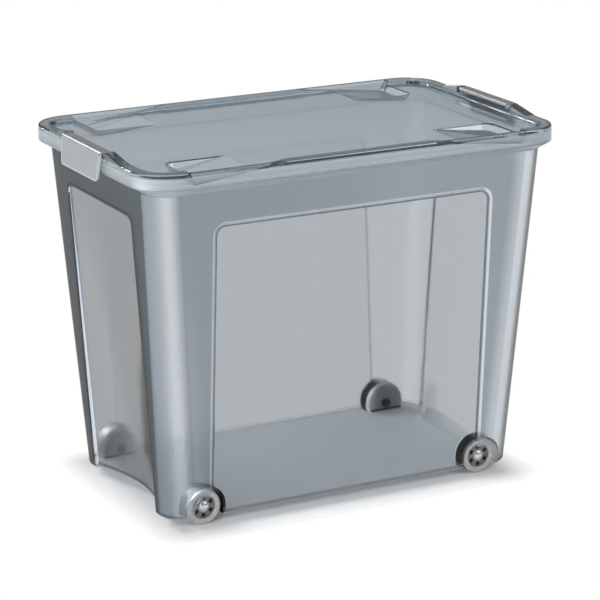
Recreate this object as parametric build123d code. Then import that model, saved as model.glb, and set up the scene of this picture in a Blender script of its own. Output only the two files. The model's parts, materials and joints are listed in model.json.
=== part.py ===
from build123d import *
from math import atan2, cos, degrees, pi, sin, sqrt, tan
import os

# Wheeled storage box: a drafted see-through tub on four wheels, with a lid held by two end clips.
# Millimetres. X runs along the length, Y across, Z up from the ground under the wheels.

# Collar and lid outline
RIM_LENGTH = 600.0
RIM_WIDTH = 381.0
RIM_CORNER = 50.0

# Tub heights, the first two above the ground
TUB_FOOT = 10.0
COLLAR_TOP = 472.5
COLLAR_HEIGHT = 15.0
FLARE_HEIGHT = 10.0

# Tub walls
WALL = 2.5
FLOOR = 3.0
COLLAR_OVERHANG = 15.8
DRAFT = 28.9
WALL_CORNER = 37.0
FOOT_ROUND = 5.0

# Flat sunk panels in the two long walls
SIDE_PANEL_MARGIN = 56.3
SIDE_PANEL_HEADROOM = 43.5
SIDE_PANEL_DEPTH = 3.5
SIDE_PANEL_SLOPE = 5.0
SIDE_PANEL_CORNER = 11.0

# Hollow panels in the two short walls, which bow inwards towards the foot
END_PANEL_MARGIN = 45.8
END_PANEL_HEADROOM = 39.5
END_PANEL_DEPTH_TOP = 2.5
END_PANEL_DEPTH_FOOT = 5.5
END_PANEL_BOW_TOP = 1.5
END_PANEL_BOW_FOOT = 21.5
END_PANEL_CORNER = 12.0

# Rounding of the foot where the panels run down to it, outside and inside
PANEL_FOOT_ROUND = 4.0
PANEL_FLOOR_ROUND = 1.5

# Wheels, wells and axles
WHEEL_RADIUS = 24.0
WHEEL_WIDTH = 16.0
WHEEL_INSET_X = 50.3
WHEEL_INSET_Y = 6.3
WHEEL_TREAD_ROUND = 3.5
WHEEL_RIM_ROUND = 1.8
WHEEL_RIM_INNER = 16.0
WHEEL_DISH = 2.5
WHEEL_HUB_RADIUS = 7.5
WHEEL_HUB_SINK = 2.0
WHEEL_BACK_DISH = 1.5
WHEEL_HOLES = 6
WHEEL_HOLE_RADIUS = 3.1
WHEEL_HOLE_CIRCLE = 11.8
WHEEL_HOLE_DEPTH = 8.0
WELL_GAP = 2.0
WELL_WALL = 2.5
WELL_ROUND = 6.0
GUARD_WALL = 2.0
GUARD_OPENING = 17.0
BOSS_RADIUS = 8.0
BOSS_LENGTH = 2.0
PIN_RADIUS = 3.5
PIN_END_RADIUS = 1.9
PIN_HEAD_RADIUS = 6.0
PIN_HEAD_HEIGHT = 2.4
PIN_DIMPLE_RADIUS = 1.3
PIN_DIMPLE_DEPTH = 0.8
CAP_RADIUS = 6.5
CAP_HEIGHT = 3.0
CAP_ROUND = 0.8
SIDE_PLAY = 0.4
RUNNING_GAP = 0.1
PRESS_GAP = 0.02

# Lid
LID_SEAT_GAP = 0.2
LID_EDGE = 5.8
LID_SKIN = 2.2
CREST_WIDTH = 15.5
CREST_ROUND = 2.5
PANEL_SINK = 5.5
PANEL_CORNER = 36.0
PANEL_ROUND = 2.5
SKIRT_GAP = 0.6
SKIRT_DEPTH = 8.0

# Pockets in the lid for the wheels of a box stacked on top
POCKET_DEPTH = 9.0
POCKET_REACH = 35.0
POCKET_SIDE_ROOM = 23.5
POCKET_RAMP = 131.0
POCKET_WALL_RUN = 8.0
POCKET_CORNER = 16.0

# Clips and the raised shoulders that carry them
CLIP_WIDTH_TOP = 122.0
CLIP_WIDTH_FOOT = 113.0
CLIP_THICKNESS = 3.0
CLIP_LIP = 1.5
CLIP_LEAN = 4.0
CLIP_FOLD_ROUND = 4.0
CLIP_CORNER = 5.0
CLIP_GAP = 0.6
CLIP_SIDE_GAP = 2.5
PIVOT_INSET = 9.0
PIVOT_RADIUS = 2.0
KNUCKLE_RADIUS = 3.2
PIVOT_REACH = 5.0
BEAD_MARGIN = 8.5
BEAD_HEIGHT = 6.0
BEAD_DROP = 3.0
BEAD_HOOK = 2.0
SHOULDER_TOP_LENGTH = 5.0
SHOULDER_RAMP = 44.0
SHOULDER_DEPTH = 14.0
EYE_RADIUS = 1.2
EYE_DEPTH = 2.0
EYE_OFFSET = 10.0
EYE_DROP = 2.5

# Places worked out from the sizes above
RIM_X = RIM_LENGTH / 2
RIM_Y = RIM_WIDTH / 2
FOOT_X = RIM_X - COLLAR_OVERHANG - DRAFT
FOOT_Y = RIM_Y - COLLAR_OVERHANG - DRAFT
FLOOR_TOP = TUB_FOOT + FLOOR
COLLAR_FOOT = COLLAR_TOP - COLLAR_HEIGHT
FLARE_FOOT = COLLAR_FOOT - FLARE_HEIGHT
SIDE_PANEL_TOP = FLARE_FOOT - SIDE_PANEL_HEADROOM
END_PANEL_TOP = FLARE_FOOT - END_PANEL_HEADROOM
LEAN = DRAFT / (FLARE_FOOT - TUB_FOOT)
SIDE_PANEL_X = FOOT_X - SIDE_PANEL_MARGIN
END_PANEL_Y = FOOT_Y - END_PANEL_MARGIN
WHEEL_X = FOOT_X - WHEEL_INSET_X
WHEEL_FACE_Y = FOOT_Y - WHEEL_INSET_Y
WHEEL_BACK_Y = WHEEL_FACE_Y - WHEEL_WIDTH
HUB_FACE_Y = WHEEL_FACE_Y - WHEEL_HUB_SINK
BOSS_FACE_Y = WHEEL_BACK_Y - SIDE_PLAY
CHEEK_FACE_Y = BOSS_FACE_Y - BOSS_LENGTH
CHEEK_BACK_Y = CHEEK_FACE_Y - WELL_WALL
PIN_HEAD_Y = HUB_FACE_Y + SIDE_PLAY
WELL_RADIUS = WHEEL_RADIUS + WELL_GAP
LID_FOOT = COLLAR_TOP + LID_SEAT_GAP
LID_TOP = LID_FOOT + LID_EDGE
PANEL_TOP = LID_TOP - PANEL_SINK
SKIRT_X = RIM_X - WALL - SKIRT_GAP
SKIRT_Y = RIM_Y - WALL - SKIRT_GAP
PIVOT_X = RIM_X - PIVOT_INSET
PIVOT_Z = LID_TOP + CLIP_GAP + KNUCKLE_RADIUS
CLIP_TOP_Z = PIVOT_Z + KNUCKLE_RADIUS
BEAD_TOP = COLLAR_FOOT - BEAD_DROP
CLIP_FOOT_Z = BEAD_TOP - BEAD_HEIGHT - CLIP_LIP
CORNERS = [(sx, sy) for sx in (-1, 1) for sy in (-1, 1)]
REACH = 40.0
FLARE_SINK = 2.0
MOUTH_RISE = 1.0


def wall_x(z):
    """Half the outside length of the drafted tub at height z."""
    return FOOT_X + LEAN * (z - TUB_FOOT)


def wall_y(z):
    """Half the outside width of the drafted tub at height z."""
    return FOOT_Y + LEAN * (z - TUB_FOOT)


def slab(half_x, half_y, corner, z):
    """A level rounded rectangle."""
    return Pos(0, 0, z) * RectangleRounded(2 * half_x, 2 * half_y, corner)


def prism(half_x, half_y, corner, low, high):
    """An upright block with rounded corners."""
    return extrude(slab(half_x, half_y, corner, low), high - low)


def mirrored(shape, sx, sy):
    """The shape in the quarter given by the two signs."""
    if sx < 0 and sy < 0:
        return Rot(0, 0, 180) * shape
    if sx < 0:
        return mirror(shape, about=Plane.YZ)
    if sy < 0:
        return mirror(shape, about=Plane.XZ)
    return shape


def drafted(outline, low, high, neutral, angle):
    """An upright block whose sides lean outwards by angle, with its true outline at the neutral height."""
    block = extrude(Pos(0, 0, low) * outline, high - low)
    sides = [face for face in block.faces() if abs(face.normal_at().Z) < cos(pi / 4)]
    return draft(sides, Plane.XY.offset(neutral), -degrees(angle))


def tub_form(inset, low, flare_shift, top):
    """The tub's outer or inner form: drafted body, flare and upright collar."""
    flare_low = FLARE_FOOT + flare_shift
    flare_high = COLLAR_FOOT + flare_shift
    foot = Rectangle(2 * (wall_x(low) - inset), 2 * (wall_y(low) - inset))
    body = drafted(foot, low, flare_high, low, atan2(LEAN, 1))
    posts = [edge for edge in body.edges() if edge.bounding_box().size.Z > FLARE_SINK]
    body = fillet(posts, WALL_CORNER - inset)
    body = fillet(body.faces().sort_by(Axis.Z)[0].edges(), FOOT_ROUND - inset / 2)
    rim = RectangleRounded(2 * (RIM_X - inset), 2 * (RIM_Y - inset), RIM_CORNER - inset)
    flare_lean = atan2(COLLAR_OVERHANG, flare_high - flare_low)
    flare = drafted(rim, flare_low - FLARE_SINK, flare_high, flare_high, flare_lean)
    return body + flare + extrude(Pos(0, 0, flare_high) * rim, top - flare_high)


def arched_outline(half, low, high, corner):
    """A tall panel outline with two rounded top corners."""
    outline = Polyline((-half, low), (half, low), (half, high), (-half, high), close=True)
    face = make_face(outline)
    return fillet(face.vertices().group_by(Axis.Y)[-1], corner)


def side_panel(depth_shift, grow):
    """What the sunk panel takes out of the front wall, moved inwards by depth_shift."""
    tilt = atan2(LEAN, 1)
    wall = Plane((0, -FOOT_Y, TUB_FOOT), x_dir=(1, 0, 0), z_dir=(0, -cos(tilt), -sin(tilt)))
    mouth = wall.offset(MOUTH_RISE - depth_shift)
    mouth_run = SIDE_PANEL_SLOPE * MOUTH_RISE / SIDE_PANEL_DEPTH + grow
    high = (SIDE_PANEL_TOP - TUB_FOOT) / cos(tilt) + mouth_run
    corner = SIDE_PANEL_CORNER + SIDE_PANEL_SLOPE + mouth_run
    outline = arched_outline(SIDE_PANEL_X + mouth_run, -REACH, high, corner)
    block = extrude(mouth * outline, -SIDE_PANEL_DEPTH - MOUTH_RISE)
    ends = [mouth.z_dir, -mouth.z_dir, -mouth.y_dir]
    steps = [face for face in block.faces() if all((face.normal_at() - end).length > 0.5 for end in ends)]
    return draft(steps, mouth, -degrees(atan2(SIDE_PANEL_SLOPE, SIDE_PANEL_DEPTH)))


def side_foot(depth_shift, foot_z, foot_round):
    """What rounds the foot of the front panel, moved inwards by depth_shift."""
    reach = 2 * foot_round
    corner_y = SIDE_PANEL_DEPTH + depth_shift - wall_y(foot_z)
    sharp = make_face(Polyline(
        (corner_y, foot_z), (corner_y - LEAN * reach, foot_z + reach), (corner_y + reach, foot_z + reach),
        (corner_y + reach, foot_z), close=True,
    ))
    rounded = fillet([sharp.vertices().sort_by_distance((corner_y, foot_z, 0))[0]], foot_round)
    return extrude(Plane.YZ * (sharp - rounded), SIDE_PANEL_X, both=True)


def end_panel_section(z, depth_shift):
    """A level section through the block that hollows the right-hand wall, wider than the panel."""
    share = (END_PANEL_TOP - z) / (END_PANEL_TOP - TUB_FOOT)
    depth = END_PANEL_DEPTH_TOP + (END_PANEL_DEPTH_FOOT - END_PANEL_DEPTH_TOP) * share
    bow = END_PANEL_BOW_TOP + (END_PANEL_BOW_FOOT - END_PANEL_BOW_TOP) * share
    middle_x = wall_x(z) - depth - bow - depth_shift
    radius = (END_PANEL_Y ** 2 + bow ** 2) / (2 * bow)
    half = END_PANEL_Y + REACH / 4
    edge_x = middle_x + radius - sqrt(radius ** 2 - half ** 2)
    outer_x = RIM_X + REACH
    curve = ThreePointArc((edge_x, half), (middle_x, 0), (edge_x, -half))
    rest = Polyline((edge_x, -half), (outer_x, -half), (outer_x, half), (edge_x, half))
    return Pos(0, 0, z) * make_face(curve + rest)


def end_panel(depth_shift, grow, foot_z, foot_round):
    """What the hollow panel takes out of the right-hand wall, moved inwards by depth_shift."""
    high = END_PANEL_TOP + grow
    sections = [end_panel_section(z, depth_shift) for z in (foot_z - REACH / 4, high + REACH / 4)]
    half = END_PANEL_Y + REACH / 8
    far_x = RIM_X + REACH
    right_half = Pos(far_x / 2, 0, (foot_z + high) / 2) * Box(far_x, 2 * half, high - foot_z)
    core = right_half - loft(sections, ruled=True)
    foot_edge = core.faces().sort_by(Axis.Z)[0].edges().sort_by(Axis.X)[-1]
    core = fillet([foot_edge], foot_round)
    outline = arched_outline(END_PANEL_Y + grow, foot_z, high, END_PANEL_CORNER + grow)
    return (right_half - core) & extrude(Plane.YZ * outline, far_x)


def arch(radius, near_y, far_y, edge_round=0.0):
    """An arched block over the rear right axle, down to the ground, with its inner edge rounded if asked."""
    outline = make_face(
        Line((-radius, 0), (-radius, -WHEEL_RADIUS)) + Line((-radius, -WHEEL_RADIUS), (radius, -WHEEL_RADIUS))
        + Line((radius, -WHEEL_RADIUS), (radius, 0)) + ThreePointArc((radius, 0), (0, radius), (-radius, 0))
    )
    plane = Plane((WHEEL_X, near_y, WHEEL_RADIUS), x_dir=(-1, 0, 0), z_dir=(0, 1, 0))
    block = extrude(plane * outline, far_y - near_y)
    if edge_round == 0:
        return block
    inner_edges = block.faces().sort_by(Axis.Y)[0].edges().sort_by(Axis.Z)[1:]
    return fillet(inner_edges, edge_round)


def axle_cylinder(radius, near_y, far_y):
    """A cylinder on the rear right axle line."""
    plane = Plane((WHEEL_X, near_y, WHEEL_RADIUS), x_dir=(1, 0, 0), z_dir=(0, 1, 0))
    return extrude(plane * Circle(radius), far_y - near_y)


def make_tub():
    """The see-through tub with its panels, wheel wells and axle bosses."""
    step_tilt = atan2(SIDE_PANEL_DEPTH, SIDE_PANEL_SLOPE)
    outer = tub_form(0, TUB_FOOT, 0, COLLAR_TOP)
    inner = tub_form(WALL, FLOOR_TOP, WALL / 2, COLLAR_TOP + WALL)
    for turn in (0, 180):
        outer -= Rot(0, 0, turn) * side_panel(0, 0)
        outer -= Rot(0, 0, turn) * side_foot(0, TUB_FOOT, PANEL_FOOT_ROUND)
        outer -= Rot(0, 0, turn) * end_panel(0, 0, TUB_FOOT, PANEL_FOOT_ROUND)
        inner -= Rot(0, 0, turn) * side_panel(WALL, WALL * tan(step_tilt / 2))
        inner -= Rot(0, 0, turn) * side_foot(WALL, FLOOR_TOP, PANEL_FLOOR_ROUND)
        inner -= Rot(0, 0, turn) * end_panel(WALL, WALL, FLOOR_TOP, PANEL_FLOOR_ROUND)
    far_y = RIM_Y
    well = arch(WELL_RADIUS + WELL_WALL, CHEEK_BACK_Y, far_y, WELL_ROUND)
    room = arch(WELL_RADIUS, CHEEK_FACE_Y, far_y, WELL_ROUND - WELL_WALL)
    behind_guard = tub_form(GUARD_WALL, TUB_FOOT - FLOOR, GUARD_WALL / 2, COLLAR_TOP)
    panel_side = Pos(SIDE_PANEL_X - REACH, far_y, 0) * Box(2 * REACH, 2 * far_y, 4 * REACH)
    opening = arch(GUARD_OPENING, CHEEK_FACE_Y, far_y)
    boss = axle_cylinder(BOSS_RADIUS, CHEEK_FACE_Y, BOSS_FACE_Y)
    bore = axle_cylinder(PIN_END_RADIUS + PRESS_GAP, CHEEK_BACK_Y, BOSS_FACE_Y)
    cut = (room & behind_guard) + (room & panel_side) + opening
    tub = outer - inner
    for sx, sy in CORNERS:
        tub += mirrored(well, sx, sy) & outer
    for sx, sy in CORNERS:
        tub -= mirrored(cut, sx, sy)
        tub += mirrored(boss, sx, sy)
        tub -= mirrored(bore, sx, sy)
    return tub


def pocket(grow):
    """A ramped pocket in the lid over the rear right wheel, with its skin added when grow is set."""
    near_y = WHEEL_BACK_Y - POCKET_SIDE_ROOM - grow
    far_y = SKIRT_Y - LID_SKIN + grow
    floor_z = PANEL_TOP - POCKET_DEPTH - grow
    end_x = WHEEL_X + POCKET_REACH + grow
    floor_x = end_x - POCKET_WALL_RUN
    start_x = floor_x - POCKET_RAMP - 2 * grow
    plan = Pos((start_x + end_x) / 2, RIM_Y) * RectangleRounded(
        end_x - start_x, 2 * (RIM_Y - near_y), POCKET_CORNER + grow
    )
    bowl = drafted(plan, floor_z, LID_TOP, LID_TOP, atan2(POCKET_WALL_RUN, LID_TOP - floor_z))
    ramp = make_face(Polyline(
        (start_x, LID_TOP - grow), (floor_x, floor_z), (end_x, floor_z),
        (end_x, LID_TOP + REACH), (start_x, LID_TOP + REACH), close=True,
    ))
    return bowl & extrude(Plane.XZ * ramp, -far_y)


def shoulder():
    """The raised shoulder beside the right-hand clip, at the rear."""
    start_y = CLIP_WIDTH_TOP / 2 + CLIP_SIDE_GAP
    flat_y = start_y + SHOULDER_TOP_LENGTH
    low = LID_TOP - LID_SKIN
    side = make_face(Polyline(
        (start_y, low), (start_y, CLIP_TOP_Z), (flat_y, CLIP_TOP_Z), (flat_y + SHOULDER_RAMP, LID_TOP),
        (flat_y + SHOULDER_RAMP, low), close=True,
    ))
    block = extrude(Plane.YZ.offset(RIM_X - SHOULDER_DEPTH) * side, SHOULDER_DEPTH)
    mouth = Plane((PIVOT_X, start_y, PIVOT_Z), x_dir=(1, 0, 0), z_dir=(0, 1, 0))
    return block - extrude(mouth * Circle(PIVOT_RADIUS + RUNNING_GAP), PIVOT_REACH)


def eye():
    """The small round mark in the lid's edge under the rear right shoulder."""
    eye_y = CLIP_WIDTH_TOP / 2 + CLIP_SIDE_GAP + EYE_OFFSET
    place = Plane((RIM_X, eye_y, LID_TOP - EYE_DROP), x_dir=(0, 1, 0), z_dir=(1, 0, 0))
    return extrude(place * Circle(EYE_RADIUS), -EYE_DEPTH)


def make_lid():
    """The lid: crest, sunk panel, locating skirt, wheel pockets and clip shoulders."""
    block = prism(RIM_X, RIM_Y, RIM_CORNER, LID_FOOT, LID_TOP)
    block = fillet(block.faces().sort_by(Axis.Z)[-1].edges(), CREST_ROUND)
    inner_x = RIM_X - CREST_WIDTH
    inner_y = RIM_Y - CREST_WIDTH
    sunk = prism(inner_x, inner_y, PANEL_CORNER, PANEL_TOP, LID_TOP)
    sunk = fillet(sunk.faces().sort_by(Axis.Z)[0].edges(), PANEL_ROUND)
    skirt_corner = RIM_CORNER - WALL - SKIRT_GAP
    skirt = prism(SKIRT_X, SKIRT_Y, skirt_corner, COLLAR_TOP - SKIRT_DEPTH, LID_TOP - LID_SKIN)
    hollow = prism(
        SKIRT_X - LID_SKIN, SKIRT_Y - LID_SKIN, skirt_corner - LID_SKIN,
        COLLAR_TOP - SKIRT_DEPTH, LID_TOP - LID_SKIN,
    )
    core = prism(
        inner_x + LID_SKIN, inner_y + LID_SKIN, PANEL_CORNER + LID_SKIN,
        PANEL_TOP - LID_SKIN, LID_TOP - LID_SKIN,
    )
    lid = block + skirt - hollow + core
    for sx, sy in CORNERS:
        lid += mirrored(pocket(LID_SKIN), sx, sy)
    lid -= sunk
    for sx, sy in CORNERS:
        lid -= mirrored(pocket(0), sx, sy)
        lid += mirrored(shoulder(), sx, sy)
        lid -= mirrored(eye(), sx, sy)
    return lid


def make_clip():
    """The right-hand clip: top plate, leaning flap, snap bead and pivot stubs."""
    top_z = CLIP_TOP_Z
    foot_z = CLIP_FOOT_Z
    inner_top = (RIM_X + CLIP_GAP, top_z - CLIP_THICKNESS)
    inner_foot = (RIM_X + CLIP_GAP + CLIP_LEAN, foot_z)
    outer_foot = (inner_foot[0] + CLIP_THICKNESS, foot_z)
    outer_top = (inner_top[0] + CLIP_THICKNESS, top_z)
    section = make_face(Polyline(
        (PIVOT_X, top_z), outer_top, outer_foot, inner_foot, inner_top, (PIVOT_X, inner_top[1]), close=True
    ))
    fold = section.vertices().sort_by_distance((*outer_top, 0))[0]
    section = fillet([fold], CLIP_FOLD_ROUND)
    half = CLIP_WIDTH_TOP / 2
    body = extrude(Plane.XZ * section, half, both=True)
    half_foot = CLIP_WIDTH_FOOT / 2
    front = make_face(Polyline(
        (-half_foot, foot_z), (half_foot, foot_z), (half, top_z - CLIP_FOLD_ROUND), (half, top_z),
        (-half, top_z), (-half, top_z - CLIP_FOLD_ROUND), close=True,
    ))
    front = fillet(front.vertices().group_by(Axis.Y)[0], CLIP_CORNER)
    body = body & extrude(Plane.YZ * front, 2 * RIM_X)
    along = Plane((PIVOT_X, 0, PIVOT_Z), x_dir=(1, 0, 0), z_dir=(0, 1, 0))
    knuckle = extrude(along * Circle(KNUCKLE_RADIUS), half, both=True)
    stubs = extrude(along * Circle(PIVOT_RADIUS), half + CLIP_SIDE_GAP + PIVOT_REACH - SIDE_PLAY, both=True)
    slope = CLIP_LEAN / (inner_top[1] - foot_z)
    flap_x = inner_top[0] + CLIP_THICKNESS / 2
    bead_low = BEAD_TOP - BEAD_HEIGHT
    tip_x = RIM_X - BEAD_HOOK
    bead = make_face(Polyline(
        (flap_x + slope * (inner_top[1] - BEAD_TOP), BEAD_TOP),
        (tip_x, BEAD_TOP - BEAD_HEIGHT / 3),
        (tip_x, BEAD_TOP - BEAD_HEIGHT / 2),
        (flap_x + slope * (inner_top[1] - bead_low), bead_low),
        close=True,
    ))
    bead = extrude(Plane.XZ * bead, half_foot - BEAD_MARGIN, both=True)
    return body + knuckle + stubs + bead


def turned(profile):
    """A profile of radius against Y, turned about the rear right axle."""
    axle = Axis((WHEEL_X, 0, WHEEL_RADIUS), (0, 1, 0))
    return revolve(Plane((WHEEL_X, 0, WHEEL_RADIUS), x_dir=(1, 0, 0), z_dir=(0, 0, 1)) * profile, axle)


def make_wheel():
    """The rear right wheel: rim, dished web with blind holes and a bored hub."""
    bore = PIN_RADIUS + RUNNING_GAP
    half = make_face(Polyline(
        (bore, WHEEL_BACK_Y), (WHEEL_RADIUS, WHEEL_BACK_Y),
        (WHEEL_RADIUS, WHEEL_FACE_Y), (bore, WHEEL_FACE_Y), close=True,
    ))
    tyre = [v for v in half.vertices() if v.X > WHEEL_RADIUS - WHEEL_TREAD_ROUND]
    half = fillet(tyre, WHEEL_TREAD_ROUND)
    web_face = WHEEL_FACE_Y - WHEEL_DISH
    ring = (WHEEL_HUB_RADIUS + WHEEL_RIM_INNER) / 2
    ring_width = WHEEL_RIM_INNER - WHEEL_HUB_RADIUS
    front_dish = Pos(ring, WHEEL_FACE_Y) * Rectangle(ring_width, 2 * WHEEL_DISH)
    back_dish = Pos(ring, WHEEL_BACK_Y) * Rectangle(ring_width, 2 * WHEEL_BACK_DISH)
    hub_top = Pos(WHEEL_HUB_RADIUS / 2, WHEEL_FACE_Y) * Rectangle(WHEEL_HUB_RADIUS, 2 * WHEEL_HUB_SINK)
    section = half - front_dish - back_dish - hub_top
    rim_edge = section.vertices().sort_by_distance((WHEEL_RIM_INNER, WHEEL_FACE_Y, 0))[0]
    wheel = turned(fillet([rim_edge], WHEEL_RIM_ROUND))
    for n in range(WHEEL_HOLES):
        angle = 2 * pi * (n + 0.5) / WHEEL_HOLES
        hole = axle_cylinder(WHEEL_HOLE_RADIUS, web_face - WHEEL_HOLE_DEPTH, WHEEL_FACE_Y)
        wheel -= Pos(WHEEL_HOLE_CIRCLE * cos(angle), 0, WHEEL_HOLE_CIRCLE * sin(angle)) * hole
    return wheel


def make_axle_pin():
    """The rear right axle pin: domed head, shouldered shank and a thinner end through the cheek."""
    dome_y = PIN_HEAD_Y + PIN_HEAD_HEIGHT
    rim_y = PIN_HEAD_Y + PIN_HEAD_HEIGHT / 3
    end_y = CHEEK_BACK_Y - CAP_HEIGHT * 2 / 3
    dimple_y = dome_y - PIN_DIMPLE_DEPTH
    middle = (PIN_HEAD_RADIUS * cos(pi / 4), dome_y - PIN_HEAD_HEIGHT / 4)
    dome = ThreePointArc((PIN_HEAD_RADIUS, rim_y), middle, (PIN_DIMPLE_RADIUS, dome_y))
    rest = Polyline(
        (PIN_DIMPLE_RADIUS, dome_y), (0, dimple_y), (0, end_y), (PIN_END_RADIUS, end_y),
        (PIN_END_RADIUS, BOSS_FACE_Y), (PIN_RADIUS, BOSS_FACE_Y), (PIN_RADIUS, PIN_HEAD_Y),
        (PIN_HEAD_RADIUS, PIN_HEAD_Y), (PIN_HEAD_RADIUS, rim_y),
    )
    return turned(make_face(dome + rest))


def make_axle_cap():
    """The push-on cap that holds the rear right pin, inside the tub."""
    low = CHEEK_BACK_Y - CAP_HEIGHT
    bore = PIN_END_RADIUS + PRESS_GAP
    bore_y = CHEEK_BACK_Y - CAP_HEIGHT * 2 / 3
    section = make_face(Polyline(
        (0, low), (CAP_RADIUS, low), (CAP_RADIUS, CHEEK_BACK_Y), (bore, CHEEK_BACK_Y),
        (bore, bore_y), (0, bore_y), close=True,
    ))
    edge = section.vertices().sort_by_distance((CAP_RADIUS, low, 0))[0]
    return turned(fillet([edge], CAP_ROUND))


def save(shape, name):
    """Write one piece as parts/NAME.step."""
    export_step(shape, f"parts/{name}.step")


os.makedirs("parts", exist_ok=True)
save(make_tub(), "tub")
save(make_lid(), "lid")
clip = make_clip()
save(clip, "right_clip")
save(mirrored(clip, -1, 1), "left_clip")
ENDS = {-1: "left", 1: "right"}
SIDES = {-1: "front", 1: "rear"}
wheel = make_wheel()
pin = make_axle_pin()
cap = make_axle_cap()
for sx, sy in CORNERS:
    place = f"{SIDES[sy]}_{ENDS[sx]}"
    save(mirrored(wheel, sx, sy), f"{place}_wheel")
    save(mirrored(pin, sx, sy), f"{place}_axle_pin")
    save(mirrored(cap, sx, sy), f"{place}_axle_cap")
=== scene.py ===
import json
import math
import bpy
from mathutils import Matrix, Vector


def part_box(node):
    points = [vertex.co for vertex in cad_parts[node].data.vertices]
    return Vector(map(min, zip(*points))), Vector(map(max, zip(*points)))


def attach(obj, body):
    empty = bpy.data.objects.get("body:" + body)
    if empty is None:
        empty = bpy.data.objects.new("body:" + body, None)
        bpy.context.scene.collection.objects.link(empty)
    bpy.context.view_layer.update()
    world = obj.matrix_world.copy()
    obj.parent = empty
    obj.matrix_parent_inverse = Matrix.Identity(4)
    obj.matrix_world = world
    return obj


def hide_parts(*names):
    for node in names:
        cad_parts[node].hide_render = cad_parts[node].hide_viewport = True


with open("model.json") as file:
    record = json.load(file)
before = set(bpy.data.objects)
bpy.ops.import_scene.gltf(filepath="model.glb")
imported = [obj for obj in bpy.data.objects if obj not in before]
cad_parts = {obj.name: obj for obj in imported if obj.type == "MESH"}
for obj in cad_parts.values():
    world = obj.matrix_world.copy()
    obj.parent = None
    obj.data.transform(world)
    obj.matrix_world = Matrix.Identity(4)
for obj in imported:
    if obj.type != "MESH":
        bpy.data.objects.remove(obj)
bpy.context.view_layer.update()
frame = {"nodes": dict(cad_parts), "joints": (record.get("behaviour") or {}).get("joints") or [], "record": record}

from types import SimpleNamespace

import bpy
from mathutils import Matrix, Vector

# Camera, fitted to the photograph's edges: degrees, metres, and millimetres for the lens and the sensor
CAMERA_AZIMUTH = -27.42
CAMERA_ELEVATION = 16.37
CAMERA_ROLL = -0.34
CAMERA_DISTANCE = 3.5878
CAMERA_LENS = 160.8
CAMERA_SENSOR = 36.0
AIM_HEIGHT = 0.220
AIM_RIGHT = 0.00625
AIM_UP = 0.01512

# Lengths that the frame gives, in metres like all lengths below
RIM_X, RIM_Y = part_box("lid")[1][:2]
LID_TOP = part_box("lid")[1][2]
TUB_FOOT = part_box("tub")[0][2]
COLLAR_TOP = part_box("tub")[1][2]
CLIP_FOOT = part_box("right_clip")[0][2]
CLIP_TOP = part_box("right_clip")[1][2]
WHEEL_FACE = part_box("rear_right_wheel")[1][1]
CHEEK_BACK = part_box("rear_right_axle_cap")[1][1]
AXLE_X, _, AXLE_Z = next(
    joint["pos_m"] for joint in frame["joints"] if joint["name"] == "rear_right_wheel_spin"
)

# The wheels stand on the floor
WHEEL_RADIUS = AXLE_Z

# Smoked plastic of the tub and the lid
PLASTIC_IOR = 1.49
SMOKE_DENSITY = 50.0
SMOKE_COLOUR = (0.40, 0.44, 0.48, 1.0)
TUB_GLOSS = (0.12, 0.12, 0.12, 1.0)
LID_GLOSS = (0.4, 0.4, 0.4, 1.0)
SHADOW_TINT = (0.88, 0.9, 0.91)
FLOOR_SHADOW_TINT = (0.55, 0.56, 0.57)
SMOKE_GRAIN = 60.0
SMOKE_GRAIN_ROUGHNESS = 0.02

# Hue of the clear panels, of the frosted frames, square on and edge on, and of the collar and the lid
PANEL_HUE = (0.953, 0.981, 1.0)
FRAME_HUE = (0.79, 0.88, 1.0)
EDGE_HUE = (0.45, 0.77, 1.0)
EDGE_HUE_RANGE = (0.40, 0.58)
RIM_HUE = (0.85, 0.94, 1.0)

# Collar of the tub, over a flared step
RIM_CORNER = 0.050
COLLAR_OVERHANG = 0.0158
COLLAR_HEIGHT = 0.015
FLARE_HEIGHT = 0.010
COLLAR_FOOT = COLLAR_TOP - COLLAR_HEIGHT
FLARE_FOOT = COLLAR_FOOT - FLARE_HEIGHT

# Tub walls, which lean outwards from the foot, and the floor between them
WALL = 0.0025
WALL_CORNER = 0.037
DRAFT = 0.0289
FLOOR = 0.003
FOOT_EDGE = 0.008
FOOT_X = RIM_X - COLLAR_OVERHANG - DRAFT
FOOT_Y = RIM_Y - COLLAR_OVERHANG - DRAFT
LEAN = DRAFT / (FLARE_FOOT - TUB_FOOT)
FLOOR_TOP = TUB_FOOT + FLOOR
FOOT_TOP = TUB_FOOT + FOOT_EDGE

# Room left in front of a face that is told by its place, and for rounding where a face lies on an outline
FACE_SLACK = WALL / 5
OUTLINE_SLACK = 0.000001

# Sunk panel of a long wall
SIDE_PANEL_MARGIN = 0.0563
SIDE_PANEL_HEADROOM = 0.0435
SIDE_PANEL_CORNER = 0.016
PANEL_RAMP = 0.005
PANEL_DEPTH = 0.0035

# Sunk panel of a short wall, with its depth and its bow at the top and at the foot
END_PANEL_MARGIN = 0.0458
END_PANEL_HEADROOM = 0.0395
END_PANEL_CORNER = 0.012
END_PANEL_DEPTH = (0.0025, 0.0055)
END_PANEL_BOW = (0.0015, 0.0215)

# Outlines of the panels: half the width, the top and the corner radius
SIDE_PANEL = (FOOT_X - SIDE_PANEL_MARGIN, FLARE_FOOT - SIDE_PANEL_HEADROOM, SIDE_PANEL_CORNER)
END_PANEL = (FOOT_Y - END_PANEL_MARGIN, FLARE_FOOT - END_PANEL_HEADROOM, END_PANEL_CORNER)

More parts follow.
